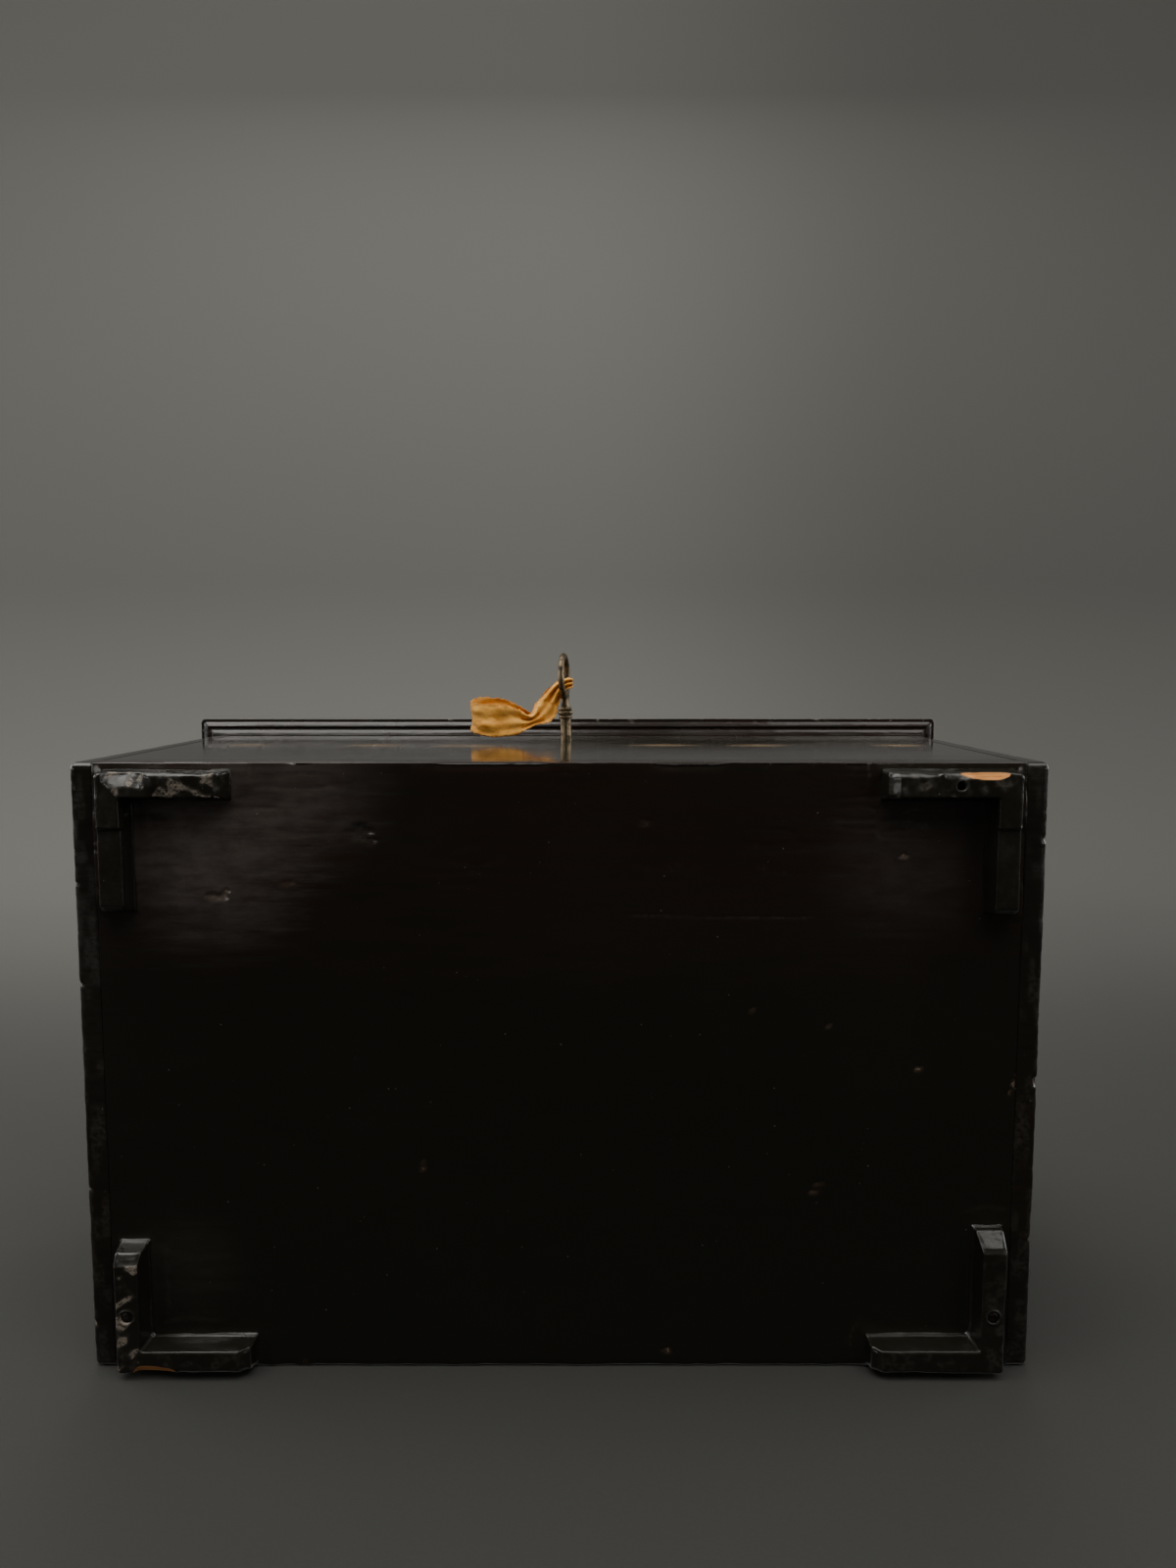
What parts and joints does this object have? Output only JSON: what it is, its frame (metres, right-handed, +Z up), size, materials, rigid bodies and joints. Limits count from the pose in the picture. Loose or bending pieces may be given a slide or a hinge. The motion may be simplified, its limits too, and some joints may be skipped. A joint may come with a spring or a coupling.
{
  "type": "lacquer box",
  "caption": "Black lacquered wooden box on L-shaped corner feet, with an overhanging moulded lid that lifts off, a lock with its key standing out of the front, and a silk ribbon on the key.",
  "frame": {"origin": "on the floor under the feet, in the middle of the whole footprint: lid moulding left to right, key bow to back of lid moulding", "axes": "+X to the box's right seen from the front, -Y out of the front with the key, +Z up"},
  "size_m": [0.3136, 0.2364, 0.1663],
  "materials": {
    "black_lacquer": "glossy black lacquer over wood, worn",
    "foot_lacquer": "worn black lacquer over wood, chipped to raw wood",
    "brown_lacquer": "glossy brown-black lacquer",
    "nail_iron": "dark iron under lacquer",
    "aged_brass": "aged brass",
    "gold_silk": "orange-gold silk satin"
  },
  "bodies": {
    "root": {"bottom_board": "black_lacquer", "front_board": "black_lacquer", "back_board": "black_lacquer", "left_board": "black_lacquer", "right_board": "black_lacquer", "foot_front_left": "foot_lacquer", "foot_front_right": "foot_lacquer", "foot_back_left": "foot_lacquer", "foot_back_right": "foot_lacquer", "foot_nail_front_left_x": "nail_iron", "foot_nail_front_left_y": "nail_iron", "foot_nail_front_right_y": "nail_iron", "foot_nail_back_left_x": "nail_iron", "foot_nail_back_left_y": "nail_iron", "foot_nail_back_right_x": "nail_iron", "foot_nail_back_right_y": "nail_iron", "lid_panel": "black_lacquer", "lid_moulding_front": "brown_lacquer", "lid_moulding_back": "brown_lacquer", "lid_moulding_left": "brown_lacquer", "lid_moulding_right": "brown_lacquer", "lock_case": "aged_brass", "key": "aged_brass", "ribbon": "gold_silk"}
  },
  "joints": []
}
